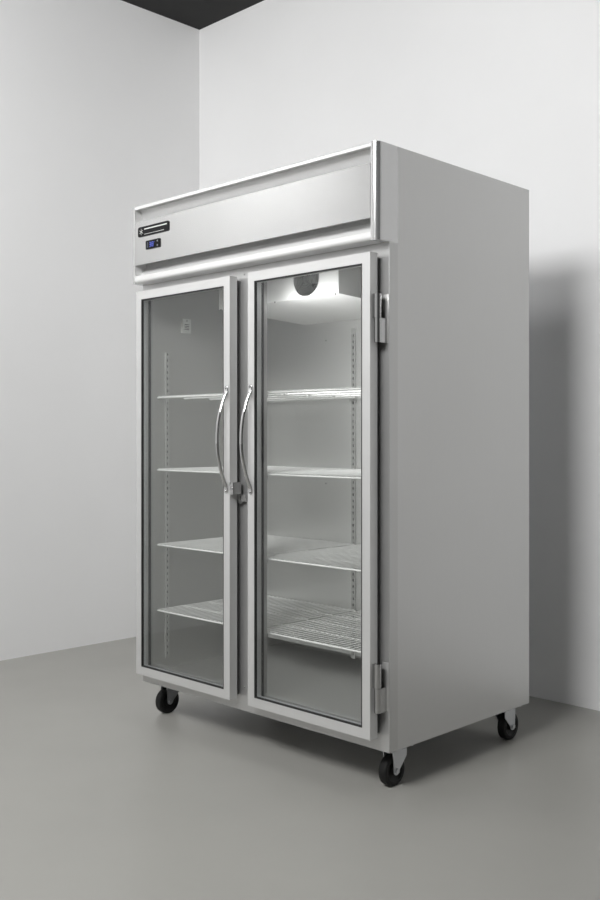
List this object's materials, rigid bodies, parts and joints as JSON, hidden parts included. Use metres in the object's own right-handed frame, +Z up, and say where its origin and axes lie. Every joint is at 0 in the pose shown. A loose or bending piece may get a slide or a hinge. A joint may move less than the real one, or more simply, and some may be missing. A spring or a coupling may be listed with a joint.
{
  "type": "glass door merchandiser",
  "caption": "Upright glass-door merchandising refrigerator in brushed stainless steel, with wire shelves, bow handles, a header with a temperature display, and swivel casters.",
  "frame": {"origin": "on the floor, under the middle of the whole object", "axes": "+Z up, the doors face -Y, +X to the right seen from the front"},
  "size_m": [1.321, 0.941, 2.089],
  "materials": {
    "brushed_steel": "vertical brushed grain",
    "galvanised_steel": "galvanised sheet",
    "polished_steel": "polished",
    "foam": "rigid polyurethane foam",
    "liner_metal": "satin sheet",
    "shelf_hardware": "satin",
    "shelf_wire": "bright plated wire",
    "coil_aluminium": "bare fins",
    "motor_black": "satin enamel",
    "copper": "drawn copper",
    "fan_aluminium": "stamped",
    "chrome": "satin chrome",
    "glass": "clear double glazing",
    "black_rubber": "moulded strip",
    "gasket_rubber": "magnetic gasket",
    "black_gloss": "gloss",
    "key_plastic": "moulded key",
    "probe_plastic": "moulded cover",
    "inlet_plastic": "moulded box",
    "zinc": "bright zinc plate",
    "wheel_rubber": "moulded tread"
  },
  "bodies": {
    "cabinet": {"back_panel": "galvanised_steel", "base_panel": "galvanised_steel", "cabinet_hinges": "chrome", "caster_plates": "zinc", "compressor": "motor_black", "condenser_coil": "coil_aluminium", "cord_inlet": "inlet_plastic", "duct_panel": "liner_metal", "evaporator_coil": "coil_aluminium", "evaporator_cover": "liner_metal", "fan_motors": "motor_black", "front_frame": "brushed_steel", "header_corner_trims": "polished_steel", "header_frame": "brushed_steel", "insulation": "foam", "interior_liner": "liner_metal", "lock_keeper": "polished_steel", "machine_tray": "galvanised_steel", "mullion": "brushed_steel", "rear_guard": "galvanised_steel", "refrigerant_pipes": "copper", "shelf_clips": "shelf_hardware", "shelf_standards": "shelf_hardware", "shelves_left": "shelf_wire", "shelves_right": "shelf_wire", "side_panel_left": "brushed_steel", "side_panel_right": "brushed_steel", "temperature_probe": "probe_plastic"},
    "left_door": {"left_door_frame": "brushed_steel", "left_door_glass": "glass", "left_glazing_seal": "black_rubber", "left_door_gasket": "gasket_rubber", "left_handle": "chrome", "left_handle_screws": "chrome", "left_door_hinges": "chrome", "lock_case": "chrome"},
    "lock_tongue": {"lock_tongue": "chrome"},
    "evaporator_fan_left": {"evaporator_fan_left": "fan_aluminium"},
    "right_door": {"right_door_frame": "brushed_steel", "right_door_glass": "glass", "right_glazing_seal": "black_rubber", "right_door_gasket": "gasket_rubber", "right_handle": "chrome", "right_handle_screws": "chrome", "right_door_hinges": "chrome"},
    "evaporator_fan_right": {"evaporator_fan_right": "fan_aluminium"},
    "header_door": {"header_panel": "brushed_steel", "name_plate": "black_gloss", "temperature_display": "black_gloss"},
    "key_1": {"display_key_1": "key_plastic"},
    "key_2": {"display_key_2": "key_plastic"},
    "condenser_fan": {"condenser_fan": "fan_aluminium"},
    "fork_front_left": {"caster_fork_front_left": "zinc"},
    "wheel_front_left": {"caster_wheel_front_left": "wheel_rubber"},
    "fork_front_right": {"caster_fork_front_right": "zinc"},
    "wheel_front_right": {"caster_wheel_front_right": "wheel_rubber"},
    "fork_rear_left": {"caster_fork_rear_left": "zinc"},
    "wheel_rear_left": {"caster_wheel_rear_left": "wheel_rubber"},
    "fork_rear_right": {"caster_fork_rear_right": "zinc"},
    "wheel_rear_right": {"caster_wheel_rear_right": "wheel_rubber"}
  },
  "joints": [
    {"name": "left_door_hinge", "type": "hinge", "parent": "cabinet", "child": "left_door", "pos_m": [-0.64, -0.3955, 0.96], "axis": [0, 0, -1], "range_deg": [0, 120]},
    {"name": "lock_turn", "type": "hinge", "parent": "left_door", "child": "lock_tongue", "pos_m": [-0.0403, -0.3751, 0.925], "axis": [0, -1, 0], "range_deg": [0, 90]},
    {"name": "evaporator_fan_left_spin", "type": "hinge", "parent": "cabinet", "child": "evaporator_fan_left", "pos_m": [-0.165, -0.2165, 1.727], "axis": [0, 1, 0], "continuous": true},
    {"name": "right_door_hinge", "type": "hinge", "parent": "cabinet", "child": "right_door", "pos_m": [0.64, -0.3955, 0.96], "axis": [0, 0, 1], "range_deg": [0, 120]},
    {"name": "evaporator_fan_right_spin", "type": "hinge", "parent": "cabinet", "child": "evaporator_fan_right", "pos_m": [0.165, -0.2165, 1.727], "axis": [0, 1, 0], "continuous": true},
    {"name": "header_panel_hinge", "type": "hinge", "parent": "cabinet", "child": "header_door", "pos_m": [0, -0.4125, 2.019], "axis": [-1, 0, 0], "range_deg": [0, 70]},
    {"name": "key_1_press", "type": "slide", "parent": "header_door", "child": "key_1", "axis": [0, 1, 0], "range_m": [0, 0.001], "stiffness_N_per_m": 400},
    {"name": "key_2_press", "type": "slide", "parent": "header_door", "child": "key_2", "axis": [0, 1, 0], "range_m": [0, 0.001], "stiffness_N_per_m": 400},
    {"name": "condenser_fan_spin", "type": "hinge", "parent": "cabinet", "child": "condenser_fan", "pos_m": [-0.3, -0.1715, 1.962], "axis": [0, 1, 0], "continuous": true},
    {"name": "caster_swivel_front_left", "type": "hinge", "parent": "cabinet", "child": "fork_front_left", "pos_m": [-0.602, -0.2625, 0.118], "axis": [0, 0, 1], "continuous": true},
    {"name": "caster_roll_front_left", "type": "hinge", "parent": "fork_front_left", "child": "wheel_front_left", "pos_m": [-0.602, -0.2795, 0.052], "axis": [1, 0, 0], "continuous": true},
    {"name": "caster_swivel_front_right", "type": "hinge", "parent": "cabinet", "child": "fork_front_right", "pos_m": [0.602, -0.2625, 0.118], "axis": [0, 0, 1], "continuous": true},
    {"name": "caster_roll_front_right", "type": "hinge", "parent": "fork_front_right", "child": "wheel_front_right", "pos_m": [0.602, -0.2795, 0.052], "axis": [1, 0, 0], "continuous": true},
    {"name": "caster_swivel_rear_left", "type": "hinge", "parent": "cabinet", "child": "fork_rear_left", "pos_m": [-0.602, 0.3985, 0.118], "axis": [0, 0, 1], "continuous": true},
    {"name": "caster_roll_rear_left", "type": "hinge", "parent": "fork_rear_left", "child": "wheel_rear_left", "pos_m": [-0.602, 0.4155, 0.052], "axis": [1, 0, 0], "continuous": true},
    {"name": "caster_swivel_rear_right", "type": "hinge", "parent": "cabinet", "child": "fork_rear_right", "pos_m": [0.602, 0.3985, 0.118], "axis": [0, 0, 1], "continuous": true},
    {"name": "caster_roll_rear_right", "type": "hinge", "parent": "fork_rear_right", "child": "wheel_rear_right", "pos_m": [0.602, 0.4155, 0.052], "axis": [1, 0, 0], "continuous": true}
  ]
}
